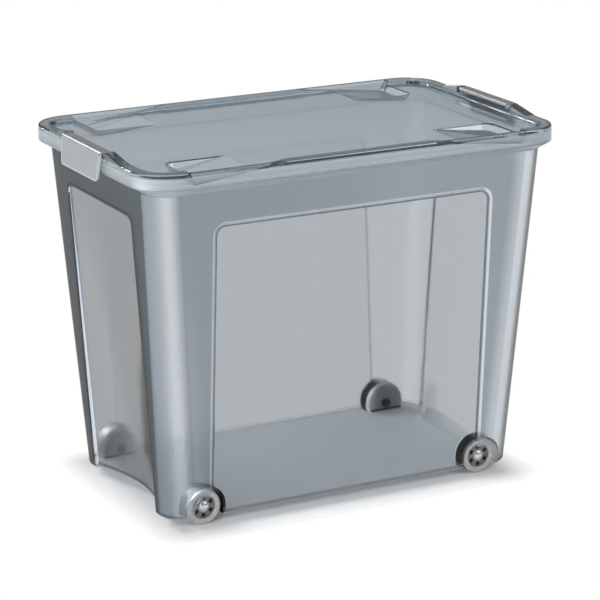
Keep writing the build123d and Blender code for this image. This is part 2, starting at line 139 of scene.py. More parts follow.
# Light let through by the outside of the walls, by distance outside a panel's outline, with a painted dark line
# and a painted highlight line along the step round each panel
BORDER_REACH = 0.008
SIDE_NEAR = [
    (-0.0050, 0.69), (-0.0038, 0.30), (-0.0024, 0.30), (-0.0006, 1.0), (0.0012, 1.0), (0.0032, 0.465),
]
END_NEAR = [
    (-0.0030, 0.565), (-0.0012, 1.0), (0.0004, 1.0), (0.0010, 0.2), (0.0026, 0.2), (0.0065, 0.62),
]

# The same, seen from inside on the far walls, with a painted dark line at the step
SIDE_FAR = [(-0.0060, 0.80), (-0.0035, 0.71), (-0.0015, 0.71), (0.0010, 0.85)]
FAR_TINT = 0.85
FAR_END_FRAME_TINT = 0.91
# Painted highlight down the far posts
FAR_POST_HIGHLIGHT_TINT = 0.95

# Painted highlight down the rounded posts at the corners, and on the flanks beside them, brightening as they turn
# away
POST_HIGHLIGHT_TINT = 0.82
POST_FALL = (1.6, 5.65)
POST_GAIN = 6.78
POST_START = 0.004
FLANK_HIGHLIGHT_TINT = 0.76
FLANK_REACH = 0.022
FLANK_TURN = (0.13, 0.25)

# Light let through by the collar, from its foot to its top, with painted light brightening it upwards, a painted
# highlight in its corners, painted light on the flare and painted shade along the foot's edge
COLLAR_TINT = (0.62, 0.86)
COLLAR_CORNER_HIGHLIGHT_TINT = 1.0
FLARE_PAINTED_LIGHT_TINT = 0.92
FOOT_EDGE_SHADE_TINT = 0.75

# The flare's painted light reaches one wall up into the collar, whose painted light is brightest along its upper
# edge
COLLAR_EDGE = 0.002
FLARE_LIGHT_TOP = COLLAR_FOOT + WALL
COLLAR_LIGHT_TOP = COLLAR_TOP - COLLAR_EDGE

# Step into an end panel: half its width, and how far round the panel's outline the far wall keeps its light
STEP_REACH = 0.001
STEP_FOOT = 0.004

# Share of that light left by the turn of a face, from 0 square on to 1 edge on
PANEL_KEPT = [(0.0, 1.0), (0.40, 0.97), (0.56, 0.93), (0.735, 0.50), (0.85, 0.30), (1.0, 0.10)]
COLLAR_KEPT = [(0.0, 1.0), (0.84, 1.0), (0.92, 0.30), (1.0, 0.05)]
FAR_KEPT = [(0.0, 1.0), (0.70, 1.0), (0.90, 0.5), (1.0, 0.1)]

# The same for the frames and the posts, whose shares are then multiplied by the gain; the rise of the side and
# post ramps at a slight turn is painted highlight
FRAME_GAIN = 1.515
SIDE_KEPT = [
    (0.0, 0.66), (0.12, 0.66), (0.18, 0.76), (0.30, 0.78),
    (0.45, 0.66), (0.60, 0.48), (0.75, 0.2), (1.0, 0.02),
]
END_KEPT = [
    (0.0, 0.66), (0.40, 0.66), (0.545, 0.64), (0.585, 0.36), (0.66, 0.12), (0.90, 0.03), (1.0, 0.02),
]
POST_KEPT = [
    (0.0, 0.66), (0.17, 0.76), (0.24, 0.80), (0.42, 0.68), (0.54, 0.40), (0.66, 0.18), (1.0, 0.02),
]

# Roughness of each zone of the tub
PANEL_ROUGHNESS = 0.04
END_ROUGHNESS = 0.12
GUARD_ROUGHNESS = 0.2
FRAME_ROUGHNESS = 0.38
POST_ROUGHNESS = 0.22
COLLAR_ROUGHNESS = 0.32
FOOT_ROUGHNESS = 0.42
TUNNEL_ROUGHNESS = 0.8

# Share of each zone of the tub that lets light through instead of scattering it back
FRAME_CLEAR = 0.94
POST_CLEAR = 0.85
END_CLEAR = 0.88
COLLAR_CLEAR = 0.55
GUARD_CLEAR = 0.85
CHEEK_CLEAR = 0.6
RING_CLEAR = 0.2
FLOOR_CLEAR = 0.25
STEP_CLEAR = 0.25

# Wheel wells: a tunnel round the wheel, closed by a cheek that has a rounded ring for an edge
WELL_GAP = 0.002
WELL_REACH = 0.0032
WELL_ROUND = 0.006
RING_WIDTH = 0.003
# Height of the painted shade along the cheek's foot
CHEEK_FOOT_SHADE_HEIGHT = 0.0032
WELL_RADIUS = WHEEL_RADIUS + WELL_GAP
WELL_OUTSIDE = WELL_RADIUS + WELL_REACH
CHEEK_RADIUS = WELL_OUTSIDE - RING_WIDTH
CHEEK_FOOT = FLOOR_TOP + CHEEK_FOOT_SHADE_HEIGHT

# Distance past the axle, outwards, over which the painted shade in the tunnel ends, and the painted shade on the
# cheek and the ring deepens
TUNNEL_TURN = (-0.012, 0.002)
WELL_SHADE = (-0.023, -0.008)

# Light let through by the wells and the floor, with painted shade in the tunnel and along the cheek's foot, and,
# by that shade, on the cheek and the ring, whose lighter side towards the middle is a painted highlight
TUNNEL_SHADE_TINT = 0.03
CHEEK_TINT = (0.78, 0.57)
RING_HIGHLIGHT_AND_SHADE_TINT = (0.92, 0.55)
CHEEK_FOOT_SHADE_TINT = 0.05
GUARD_TINT = 0.85
FLOOR_TINT = 0.74

# Lid, with a raised crest along its edge, whose inner wall gets a painted dark band over a drop below the lid's
# top
CREST_WIDTH = 0.0155
CREST_WALL_REACH = 0.0016
CREST_WALL_DROP = (0.0073, 0.0097)
CREST_WALL_SHADE_TINT = 0.15
# Seen from inside, the lid is darker within this reach of its outline
CREST_EDGE = 0.004
CREST_EDGE_TINT = 0.75
LID_TINT = 0.765
LID_KEPT = [(0.0, 1.0), (0.76, 1.0), (0.87, 0.45), (1.0, 0.08)]
LID_ROUGHNESS = 0.04
LID_CLEAR = 0.97

# Clip, whose flap widens upwards to the fold
CLIP_HALF_FOOT = 0.0565
CLIP_HALF_TOP = 0.061
CLIP_FOLD = 0.005
CLIP_SPREAD = (CLIP_HALF_TOP - CLIP_HALF_FOOT) / (CLIP_TOP - CLIP_FOOT)
FLAP_TOP = CLIP_TOP - CLIP_FOLD
# Painted highlight along the flap's lower and side edges, in a colour that the faint patches share
CLIP_EDGE_HIGHLIGHT_FADE = (0.0008, 0.0024)
CLIP_COLOUR = (0.33, 0.355, 0.365)
CLIP_PATCH_AND_EDGE_HIGHLIGHT_COLOUR = (0.55, 0.575, 0.585)

# Wheel
RIM_INNER = 0.016
# Where the painted shade in the dish ends at the rim's inner edge
DISH_SHADE_EDGE_FADE = (RIM_INNER - 0.0006, RIM_INNER + 0.0004)
HUB_RADIUS = 0.0075
TREAD_DEPTH = (0.0025, 0.0045)
RIM_COLOUR = (0.48, 0.45, 0.445)
# Colour of the painted shade in the dish, which the faint patches on the rim share
DISH_SHADE_AND_PATCH_COLOUR = (0.12, 0.112, 0.11)
TREAD_COLOUR = (0.02, 0.02, 0.022)

# Pin and cap
PIN_COLOUR = (0.78, 0.78, 0.77)
PIN_DULL_COLOUR = (0.55, 0.55, 0.55)
CAP_COLOUR = (0.012, 0.012, 0.013)
CAP_WORN_COLOUR = (0.03, 0.03, 0.032)

# Faint patches on the opaque pieces: scale of the noise, its range and how strong the patches are
CLIP_PATCHES = dict(scale=25.0, low=0.3, high=0.7, strength=0.06)
WHEEL_PATCHES = dict(scale=180.0, low=0.35, high=0.65, strength=0.15)
PIN_PATCHES = dict(scale=700.0, low=0.4, high=0.7, strength=1.0)
CAP_PATCHES = dict(scale=400.0, low=0.45, high=0.7, strength=1.0)

# Finish of the opaque pieces: roughness, how far grain raises it, the grain's scale and relief, and gloss
CLIP_FINISH = dict(roughness=0.22, spread=0.08, scale=900.0, relief=0.05, gloss=0.35, metallic=0.0)
WHEEL_FINISH = dict(roughness=0.16, spread=0.1, scale=1200.0, relief=0.1, gloss=0.8, metallic=0.0)
PIN_FINISH = dict(roughness=0.2, spread=0.1, scale=1500.0, relief=0.08, gloss=0.5, metallic=1.0)
CAP_FINISH = dict(roughness=0.6, spread=0.1, scale=1100.0, relief=0.1, gloss=0.1, metallic=0.0)
RELIEF_DEPTH = 0.0004

# Studio floor, white past the shadow that the box throws
FLOOR_REACH = 12.0
FLOOR_WHITE = (0.88, 0.885, 0.89, 1.0)
FULL_WHITE = 1.0
SHADOW_INSET = 0.0203
SHADOW_REACH = 0.05

# Light of the white room, by direction
HORIZON_LIGHT = 0.85
ZENITH_LIGHT = 0.05
ZENITH_RANGE = (0.0, 0.9)
FRONT_SHARE = 0.6
FRONT_TO_REAR = (-0.8, 0.8)
REFLECTED_LIGHT = 0.35

# Lamps: place, aim and edge length in metres, power in watts
LEFT_SOFTBOX = dict(place=(-2.0, -1.4, 0.9), aim=(0.0, 0.0, 0.25), size=1.3, power=34.0)
FRONT_SOFTBOX = dict(place=(1.3, -1.6, 1.6), aim=(0.1, -0.14, 0.02), size=0.7, power=12.0)
REAR_STRIP = dict(place=(-1.14, 2.55, 1.8), aim=(-0.3, 0.0, 0.485), size=0.4, power=44.0)

# Bounces that light needs to cross the walls of the box and the lid
PLASTIC_BOUNCES = 24
SHADOW_BOUNCES = 32


def new_material(name):
    """An empty node material and its tree."""
    material = bpy.data.materials.new(name)
    material.use_nodes = True
    material.node_tree.nodes.clear()
    return material, material.node_tree


def add_node(tree, kind, **values):
    """A node of the given kind, with its own settings and input values."""
    node = tree.nodes.new(kind)
    for key, value in values.items():
        if key in node.inputs:
            node.inputs[key].default_value = value
        else:
            setattr(node, key, value)
    return node


def feed(tree, socket, value):
    """Links a socket to another, or sets its plain value."""
    if isinstance(value, bpy.types.NodeSocket):
        tree.links.new(value, socket)
    else:
        socket.default_value = value


def calc(tree, operation, *values):
    """A Math node's result."""
    node = add_node(tree, "ShaderNodeMath", operation=operation)
    for socket, value in zip(node.inputs, values):
        feed(tree, socket, value)
    return node.outputs[0]


def both(tree, *shares):
    """The product of several shares."""
    product = shares[0]
    for share in shares[1:]:
        product = calc(tree, "MULTIPLY", product, share)
    return product


def either(tree, *shares):
    """The largest of several shares."""
    largest = shares[0]
    for share in shares[1:]:
        largest = calc(tree, "MAXIMUM", largest, share)
    return largest


def opposite(tree, share):
    """1 where the share is 0, and 0 where it is 1."""
    return calc(tree, "SUBTRACT", 1.0, share)


def fade(tree, value, low, high, interpolation="SMOOTHSTEP"):
    """0 below low, 1 above high, smooth between."""
    node = add_node(tree, "ShaderNodeMapRange", interpolation_type=interpolation)
    feed(tree, node.inputs["Value"], value)
    node.inputs["From Min"].default_value = low
    node.inputs["From Max"].default_value = high
    return node.outputs[0]


def fade_straight(tree, value, low, high):
    """0 below low, 1 above high, straight between."""
    return fade(tree, value, low, high, "LINEAR")


def blend(tree, share, first, second):
    """first where share is 0, second where it is 1."""
    # A Mix node has its two plain numbers at inputs 2 and 3, and its two colours at 6 and 7
    node = add_node(tree, "ShaderNodeMix", data_type="FLOAT")
    feed(tree, node.inputs[0], share)
    feed(tree, node.inputs[2], first)
    feed(tree, node.inputs[3], second)
    return node.outputs[0]


def blend_colour(tree, share, first, second):
    """The first colour where share is 0, the second where it is 1."""
    node = add_node(tree, "ShaderNodeMix", data_type="RGBA")
    feed(tree, node.inputs[0], share)
    for socket, colour in ((node.inputs[6], first), (node.inputs[7], second)):
        feed(tree, socket, (*colour, 1.0) if isinstance(colour, tuple) else colour)
    return node.outputs[2]


def overlay(tree, value, *zones):
    """A value with each zone's own value laid over it in turn."""
    for zone, own in zones:
        value = blend(tree, zone, value, own)
    return value


def hypot(tree, first, second):
    """The length of a step of first one way and second across it."""
    squares = calc(tree, "MULTIPLY_ADD", first, first, calc(tree, "MULTIPLY", second, second))
    return calc(tree, "SQRT", squares)


def folded_place(tree):
    """Distances from the middle along the length and across it, and the height."""
    place = add_node(tree, "ShaderNodeTexCoord")
    split = add_node(tree, "ShaderNodeSeparateXYZ")
    tree.links.new(place.outputs["Object"], split.inputs[0])
    along = calc(tree, "ABSOLUTE", split.outputs["X"])
    across = calc(tree, "ABSOLUTE", split.outputs["Y"])
    return along, across, split.outputs["Z"]


def from_axle(tree, along, height):
    """Distance from the nearest axle."""
    return hypot(tree, calc(tree, "SUBTRACT", along, AXLE_X), calc(tree, "SUBTRACT", height, AXLE_Z))


def outline_distance(tree, first, second, outline):
    """Distance outside a rounded outline, given by its two reaches and its corner radius."""
    reach_first, reach_second, corner = outline
    past_first = calc(tree, "SUBTRACT", first, reach_first - corner)
    past_second = calc(tree, "SUBTRACT", second, reach_second - corner)
    outside = hypot(tree, calc(tree, "MAXIMUM", past_first, 0.0), calc(tree, "MAXIMUM", past_second, 0.0))
    inside = calc(tree, "MINIMUM", calc(tree, "MAXIMUM", past_first, past_second), 0.0)
    return calc(tree, "SUBTRACT", calc(tree, "ADD", outside, inside), corner)


def rim_distance(tree, along, across):
    """Distance outside the outline that the collar and the lid share."""
    return outline_distance(tree, along, across, (RIM_X, RIM_Y, RIM_CORNER))


def corner_highlight_share(tree, first, second, corner):
    """The share of a painted highlight on a rounded corner: 0 at both its sides, most towards the side where first
    is 0.
    """
    share = POST_GAIN
    for reach, fall in zip((first, second), POST_FALL):
        turned = calc(tree, "DIVIDE", calc(tree, "MAXIMUM", reach, 0.0), corner)
        share = both(tree, calc(tree, "POWER", turned, fall), share)
    return share


def grey_ramp(tree, share, stops, interpolation="LINEAR"):
    """A grey value by a share from 0 to 1."""
    node = add_node(tree, "ShaderNodeValToRGB")
    feed(tree, node.inputs[0], share)
    ramp = node.color_ramp
    ramp.interpolation = interpolation
    # A new ramp has two stops of its own, and one is kept for the first of these
    ramp.elements.remove(ramp.elements[1])
    for index, (place, value) in enumerate(stops):
        stop = ramp.elements.new(place) if index else ramp.elements[0]
        stop.position = place
        stop.color = (value, value, value, 1)
    return node.outputs[0]


def border_profile(tree, distance, stops):
    """A grey value by distance outside a panel's outline, whose own place is the middle of the ramp."""
    share = calc(tree, "MULTIPLY_ADD", distance, 0.5 / BORDER_REACH, 0.5)
    placed = [(0.5 + 0.5 * place / BORDER_REACH, value) for place, value in stops]
    return grey_ramp(tree, share, placed, "EASE")


def tinted(tree, light_with_painted_marks, hue):
    """The base colour of a face by the given share of light, as let through with any painted light and shade laid
    over it.
    """
    tint = add_node(tree, "ShaderNodeVectorMath", operation="SCALE")
    feed(tree, tint.inputs[0], hue)
    feed(tree, tint.inputs["Scale"], calc(tree, "MULTIPLY", light_with_painted_marks, light_with_painted_marks))
    return tint.outputs[0]


def grain(tree, scale):
    """A fine noise on the piece."""
    place = add_node(tree, "ShaderNodeTexCoord")
    noise = add_node(tree, "ShaderNodeTexNoise", Scale=scale)
    tree.links.new(place.outputs["Object"], noise.inputs["Vector"])
    return noise.outputs["Fac"]


def patches(tree, scale, low, high, strength):
    """The share of faint patches on the piece."""
    return both(tree, fade(tree, grain(tree, scale), low, high), strength)


def smoked_roughness(tree, roughness):
    """A roughness that varies a little over the plastic."""
    return calc(tree, "MULTIPLY_ADD", grain(tree, SMOKE_GRAIN), SMOKE_GRAIN_ROUGHNESS, roughness)


def facing_turn(tree):
    """How far a face turns from the view, from 0 square on to 1 edge on."""
    return add_node(tree, "ShaderNodeLayerWeight").outputs["Facing"]


def seen_from_inside(tree):
    """1 where the back of a face is seen, from within the plastic."""
    return add_node(tree, "ShaderNodeNewGeometry").outputs["Backfacing"]


def tub_place(tree):
    """Where a point of the tub lies, by the walls, the panels and the collar."""
    along, across, height = folded_place(tree)
    lean = calc(tree, "MULTIPLY", calc(tree, "SUBTRACT", height, TUB_FOOT), LEAN)
    end_gap = calc(tree, "SUBTRACT", calc(tree, "ADD", lean, FOOT_X), along)
    side_gap = calc(tree, "SUBTRACT", calc(tree, "ADD", lean, FOOT_Y), across)
    on_side = calc(tree, "LESS_THAN", side_gap, end_gap)
    side_border = outline_distance(tree, along, height, SIDE_PANEL)
    end_border = outline_distance(tree, across, height, END_PANEL)
    border = blend(tree, on_side, end_border, side_border)
    return SimpleNamespace(
        along=along,
        across=across,
        height=height,
        on_side=on_side,
        side_border=side_border,
        end_border=end_border,
        in_panel=opposite(tree, fade(tree, border, -PANEL_RAMP, 0.0)),
        end_round=calc(tree, "SUBTRACT", WALL_CORNER, end_gap),
        side_round=calc(tree, "SUBTRACT", WALL_CORNER, side_gap),
        collar=calc(tree, "GREATER_THAN", height, FLARE_FOOT),
        turn=facing_turn(tree),
        from_inside=seen_from_inside(tree),
    )


def panel_sink(tree, at):
    """How deep the panels lie under the walls: flat in the long walls, bowed inwards in the short ones."""
    down = opposite(tree, fade_straight(tree, at.height, TUB_FOOT, END_PANEL[1]))
    off_middle = calc(tree, "DIVIDE", at.across, END_PANEL[0])
    bow = both(tree, blend(tree, down, *END_PANEL_BOW), opposite(tree, both(tree, off_middle, off_middle)))
    end_sink = calc(tree, "ADD", bow, blend(tree, down, *END_PANEL_DEPTH))
    end_sink = both(tree, end_sink, calc(tree, "LESS_THAN", at.end_border, -OUTLINE_SLACK))
    return blend(tree, at.on_side, end_sink, both(tree, at.in_panel, PANEL_DEPTH))


def outer_faces(tree, at):
    """1 on the outer faces of the walls and the collar, 0 on the inner ones."""
    reach = hypot(tree, calc(tree, "MAXIMUM", at.end_round, 0.0), calc(tree, "MAXIMUM", at.side_round, 0.0))
    wall_depth = calc(tree, "SUBTRACT", calc(tree, "SUBTRACT", WALL_CORNER, reach), panel_sink(tree, at))
    under_collar = opposite(tree, fade_straight(tree, at.height, FLARE_FOOT, COLLAR_FOOT))
    rim_depth = calc(tree, "MULTIPLY", rim_distance(tree, at.along, at.across), -1.0)
    collar_depth = calc(tree, "MULTIPLY_ADD", under_collar, -COLLAR_OVERHANG, rim_depth)
    return calc(tree, "LESS_THAN", blend(tree, at.collar, wall_depth, collar_depth), WALL / 2)


def wall_zones(tree, at):
    """The zones of the tub's walls, its floor and its foot."""
    outer = outer_faces(tree, at)
    outside = both(tree, outer, opposite(tree, at.from_inside))
    beside_post = fade(tree, at.end_round, -FLANK_REACH, 0.0)
    near_end = both(tree, outside, opposite(tree, at.on_side))
    at_step = calc(tree, "COMPARE", at.end_border, -STEP_REACH, STEP_REACH - OUTLINE_SLACK)
    return SimpleNamespace(
        outer=outer,
        frosted=both(tree, outside, opposite(tree, at.in_panel)),
        near_end=near_end,
        near_collar=both(tree, outside, at.collar),
        step=both(tree, near_end, at_step),
        post=corner_highlight_share(tree, at.end_round, at.side_round, WALL_CORNER),
        flank_highlight=both(tree, at.on_side, beside_post, fade(tree, at.turn, *FLANK_TURN)),
        floor=calc(tree, "LESS_THAN", at.height, FLOOR_TOP + FACE_SLACK),
        foot=both(tree, outer, calc(tree, "LESS_THAN", at.height, FOOT_TOP)),
    )


def well_zones(tree, at, walls):
    """The wheel wells: painted shade in the tunnel, a grey cheek with its ring and painted shade along its foot,
    and the guard over the wheel.
    """
    radius = from_axle(tree, at.along, at.height)
    in_reach = calc(tree, "LESS_THAN", radius, WELL_OUTSIDE)
    inside = both(tree, opposite(tree, walls.outer), in_reach)
    past_axle = calc(tree, "SUBTRACT", at.along, AXLE_X)
    past_ring = calc(tree, "GREATER_THAN", at.across, CHEEK_BACK + WELL_ROUND)
    past_back = calc(tree, "GREATER_THAN", at.across, CHEEK_BACK - FACE_SLACK)
    in_tunnel = calc(tree, "GREATER_THAN", radius, WELL_RADIUS - FACE_SLACK)
    dark_side = opposite(tree, fade(tree, past_axle, *TUNNEL_TURN))
    at_cheek = both(tree, inside, opposite(tree, past_ring), past_back)
    cheek = both(tree, at_cheek, calc(tree, "LESS_THAN", radius, CHEEK_RADIUS))
    return SimpleNamespace(
        inside=inside,
        tunnel=both(tree, inside, past_ring, in_tunnel, dark_side),
        cheek=cheek,
        ring=both(tree, at_cheek, calc(tree, "GREATER_THAN", radius, CHEEK_RADIUS)),
        seam=both(tree, cheek, calc(tree, "LESS_THAN", at.height, CHEEK_FOOT)),
        guard=both(tree, walls.outer, in_reach, opposite(tree, at.in_panel)),
        shade=fade(tree, past_axle, *WELL_SHADE),
    )


def light_kept(tree, at):
    """Share of the light left by the turn of an outer face, with the painted highlight where the side and post
    ramps rise.
    """
    zones = (PANEL_KEPT, SIDE_KEPT, END_KEPT, POST_KEPT, COLLAR_KEPT)
    panel, side, end, post, collar = (grey_ramp(tree, at.turn, stops) for stops in zones)
    on_post = both(tree, at.on_side, fade(tree, at.end_round, 0.0, POST_START))
    frames = blend(tree, at.on_side, end, blend(tree, on_post, side, post))
    return overlay(tree, both(tree, frames, FRAME_GAIN), (at.in_panel, panel), (at.collar, collar))


def collar_light(tree, at):
    """Light let through by the collar, with painted light that brightens it upwards, a painted highlight in the
    corners and painted light on the flare below it.
    """
    up = fade_straight(tree, at.height, COLLAR_FOOT, COLLAR_LIGHT_TOP)
    past_x = calc(tree, "SUBTRACT", at.along, RIM_X - RIM_CORNER)
    past_y = calc(tree, "SUBTRACT", at.across, RIM_Y - RIM_CORNER)
    corner = corner_highlight_share(tree, past_y, past_x, RIM_CORNER)
    tint = blend(tree, corner, blend(tree, up, *COLLAR_TINT), COLLAR_CORNER_HIGHLIGHT_TINT)
    return blend(tree, fade(tree, at.height, COLLAR_FOOT, FLARE_LIGHT_TOP), FLARE_PAINTED_LIGHT_TINT, tint)


def near_light(tree, at, walls, wells):
    """Light let through by the outer faces that are seen from outside, with the painted lines at the panels'
    steps, the painted highlights on the posts, the flanks and the collar, and painted shade along the foot.
    """
    side = border_profile(tree, at.side_border, SIDE_NEAR)
    end = border_profile(tree, at.end_border, END_NEAR)
    near = overlay(
        tree, blend(tree, at.on_side, end, side),
        (walls.flank_highlight, FLANK_HIGHLIGHT_TINT), (walls.post, POST_HIGHLIGHT_TINT), (at.collar, collar_light(tree, at)),
    )
    near = both(tree, near, light_kept(tree, at), blend(tree, walls.foot, 1.0, FOOT_EDGE_SHADE_TINT))
    return blend(tree, wells.guard, near, GUARD_TINT)


def far_light(tree, at):
    """Light let through by the outer faces that are seen from inside, on the far walls, with a painted dark line
    at the steps and a painted highlight down the far posts.
    """
    side = border_profile(tree, at.side_border, SIDE_FAR)
    end = blend(tree, fade(tree, at.end_border, 0.0, STEP_FOOT), FAR_TINT, FAR_END_FRAME_TINT)
    post = corner_highlight_share(tree, at.side_round, at.end_round, WALL_CORNER)
    far = overlay(tree, blend(tree, at.on_side, end, side), (post, FAR_POST_HIGHLIGHT_TINT), (at.collar, FAR_TINT))
    on_step = both(tree, opposite(tree, at.on_side), calc(tree, "COMPARE", at.end_border, 0.0, STEP_FOOT))
    return both(tree, far, blend(tree, on_step, grey_ramp(tree, at.turn, FAR_KEPT), 1.0))


def tub_colour(tree, at, walls, wells):
    """Colour of the tub, by the light that each zone lets through with the painted highlights and shade laid over
    it, and the hue of its frost.
    """
    wall_light_with_painted_marks = blend(tree, at.from_inside, near_light(tree, at, walls, wells), far_light(tree, at))
    light_with_painted_marks = overlay(
        tree, blend(tree, walls.outer, 1.0, wall_light_with_painted_marks),
        (walls.floor, FLOOR_TINT),
        # Painted shade in the tunnel, on the cheek and along its foot, and a painted highlight on the ring
        (wells.tunnel, TUNNEL_SHADE_TINT),
        (wells.ring, blend(tree, wells.shade, *RING_HIGHLIGHT_AND_SHADE_TINT)),
        (wells.cheek, blend(tree, wells.shade, *CHEEK_TINT)),
        (wells.seam, CHEEK_FOOT_SHADE_TINT),
    )
    hue = blend_colour(tree, fade(tree, at.turn, *EDGE_HUE_RANGE), FRAME_HUE, EDGE_HUE)
    hue = blend_colour(tree, either(tree, walls.post, walls.flank_highlight), hue, PANEL_HUE)
    hue = blend_colour(tree, at.collar, hue, RIM_HUE)
    return tinted(tree, light_with_painted_marks, blend_colour(tree, walls.frosted, PANEL_HUE, hue))


def tub_roughness(tree, at, walls, wells):
    """Roughness of the tub: smooth panels, frosted frames, matt wells, floor and foot."""
    frost = blend(tree, walls.post, FRAME_ROUGHNESS, POST_ROUGHNESS)
    matt = blend(tree, wells.tunnel, FOOT_ROUGHNESS, TUNNEL_ROUGHNESS)
    roughness = overlay(
        tree, PANEL_ROUGHNESS,
        (walls.near_end, END_ROUGHNESS),
        (walls.frosted, blend(tree, at.collar, frost, COLLAR_ROUGHNESS)),
        (wells.guard, GUARD_ROUGHNESS),
        (either(tree, walls.floor, wells.inside, walls.foot), matt),
    )
    return smoked_roughness(tree, roughness)


def tub_clearness(tree, walls, wells):
    """Share of the tub's plastic that lets light through instead of scattering it back."""
    return overlay(
        tree, 1.0,
        (walls.near_end, END_CLEAR),
        (walls.frosted, blend(tree, walls.post, FRAME_CLEAR, POST_CLEAR)),
        (walls.near_collar, COLLAR_CLEAR),
        (walls.floor, FLOOR_CLEAR),
        (wells.ring, RING_CLEAR),
        (wells.cheek, CHEEK_CLEAR),
        (wells.guard, GUARD_CLEAR),
        (walls.step, STEP_CLEAR),
    )


def tub_zones(tree):
    """Colour, roughness, clearness and shadow tint of the tub."""
    at = tub_place(tree)
    walls = wall_zones(tree, at)
    wells = well_zones(tree, at, walls)
    colour = tub_colour(tree, at, walls, wells)
    roughness = tub_roughness(tree, at, walls, wells)
    clear = tub_clearness(tree, walls, wells)
    return colour, roughness, clear, blend_colour(tree, walls.floor, SHADOW_TINT, FLOOR_SHADOW_TINT)


def lid_zones(tree):
    """Colour, roughness, clearness and shadow tint of the lid, with a painted dark band along the crest's inner
    wall.
    """
    along, across, height = folded_place(tree)
    rim = rim_distance(tree, along, across)
    crest_wall_shade = calc(tree, "COMPARE", rim, -CREST_WIDTH, CREST_WALL_REACH)
    drop = calc(tree, "SUBTRACT", LID_TOP, height)
    crest_wall_shade = both(tree, crest_wall_shade, fade(tree, drop, *CREST_WALL_DROP))
    near = both(tree, LID_TINT, grey_ramp(tree, facing_turn(tree), LID_KEPT))
    far = blend(tree, calc(tree, "GREATER_THAN", rim, -CREST_EDGE), 1.0, CREST_EDGE_TINT)
    light_with_painted_marks = blend(tree, seen_from_inside(tree), near, blend(tree, crest_wall_shade, far, CREST_WALL_SHADE_TINT))
    roughness = smoked_roughness(tree, LID_ROUGHNESS)
    return tinted(tree, light_with_painted_marks, RIM_HUE), roughness, LID_CLEAR, (*SHADOW_TINT, 1.0)


def smoked_plastic(name, zones, gloss):
    """See-through smoked plastic: a tinted skin and an absorbing body, which lamps shine through."""
    material, tree = new_material(name)
    skin = add_node(tree, "ShaderNodeBsdfPrincipled")
    skin.inputs["IOR"].default_value = PLASTIC_IOR
    skin.inputs["Specular Tint"].default_value = gloss
    colour, roughness, clear, shadow_tint = zones(tree)
    feed(tree, skin.inputs["Base Color"], colour)
    feed(tree, skin.inputs["Roughness"], roughness)
    feed(tree, skin.inputs["Transmission Weight"], clear)
    lamp_light = add_node(tree, "ShaderNodeBsdfTransparent")
    feed(tree, lamp_light.inputs["Color"], shadow_tint)
    path = add_node(tree, "ShaderNodeLightPath")
    mix = add_node(tree, "ShaderNodeMixShader")
    smoke = add_node(tree, "ShaderNodeVolumeAbsorption")
    smoke.inputs["Color"].default_value = SMOKE_COLOUR
    smoke.inputs["Density"].default_value = SMOKE_DENSITY
    out = add_node(tree, "ShaderNodeOutputMaterial")
    tree.links.new(path.outputs["Is Shadow Ray"], mix.inputs[0])
    tree.links.new(skin.outputs[0], mix.inputs[1])
    tree.links.new(lamp_light.outputs[0], mix.inputs[2])
    tree.links.new(mix.outputs[0], out.inputs["Surface"])
    tree.links.new(smoke.outputs[0], out.inputs["Volume"])
    return material


def solid_finish(name, colours, roughness, spread, scale, relief, gloss, metallic):
    """An opaque moulded or metal finish, with its grain."""
    material, tree = new_material(name)
    skin = add_node(tree, "ShaderNodeBsdfPrincipled")
    skin.inputs["Specular IOR Level"].default_value = gloss
    skin.inputs["Metallic"].default_value = metallic
    fine = grain(tree, scale)
    feed(tree, skin.inputs["Base Color"], colours(tree))
    feed(tree, skin.inputs["Roughness"], calc(tree, "MULTIPLY_ADD", fine, spread, roughness))
    bump = add_node(tree, "ShaderNodeBump", Strength=relief, Distance=RELIEF_DEPTH)
    tree.links.new(fine, bump.inputs["Height"])
    tree.links.new(bump.outputs[0], skin.inputs["Normal"])
    out = add_node(tree, "ShaderNodeOutputMaterial")
    tree.links.new(skin.outputs[0], out.inputs["Surface"])
    return material


def clip_colours(tree):
    """Grey moulding with faint lighter patches, and a painted highlight along the flap's lower and side edges."""
    _, across, height = folded_place(tree)
    rise = calc(tree, "SUBTRACT", height, CLIP_FOOT)
    half_width = calc(tree, "MULTIPLY_ADD", rise, CLIP_SPREAD, CLIP_HALF_FOOT)
    from_edge = calc(tree, "MINIMUM", rise, calc(tree, "SUBTRACT", half_width, across))
    edge = opposite(tree, fade(tree, from_edge, *CLIP_EDGE_HIGHLIGHT_FADE))
    edge = both(tree, edge, calc(tree, "LESS_THAN", height, FLAP_TOP))
    base = blend_colour(tree, patches(tree, **CLIP_PATCHES), CLIP_COLOUR, CLIP_PATCH_AND_EDGE_HIGHLIGHT_COLOUR)
    return blend_colour(tree, edge, base, CLIP_PATCH_AND_EDGE_HIGHLIGHT_COLOUR)


def wheel_colours(tree):
    """Warm grey rim with faint darker patches, painted shade in the dish, and black tread."""
    along, across, height = folded_place(tree)
    radius = from_axle(tree, along, height)
    dish_shade = opposite(tree, fade(tree, radius, *DISH_SHADE_EDGE_FADE))
    dish_shade = both(tree, dish_shade, calc(tree, "GREATER_THAN", radius, HUB_RADIUS))
    tread = fade(tree, calc(tree, "SUBTRACT", WHEEL_FACE, across), *TREAD_DEPTH)
    tread = both(tree, tread, calc(tree, "GREATER_THAN", radius, RIM_INNER))
    colour = blend_colour(tree, patches(tree, **WHEEL_PATCHES), RIM_COLOUR, DISH_SHADE_AND_PATCH_COLOUR)
    colour = blend_colour(tree, dish_shade, colour, DISH_SHADE_AND_PATCH_COLOUR)
    return blend_colour(tree, tread, colour, TREAD_COLOUR)


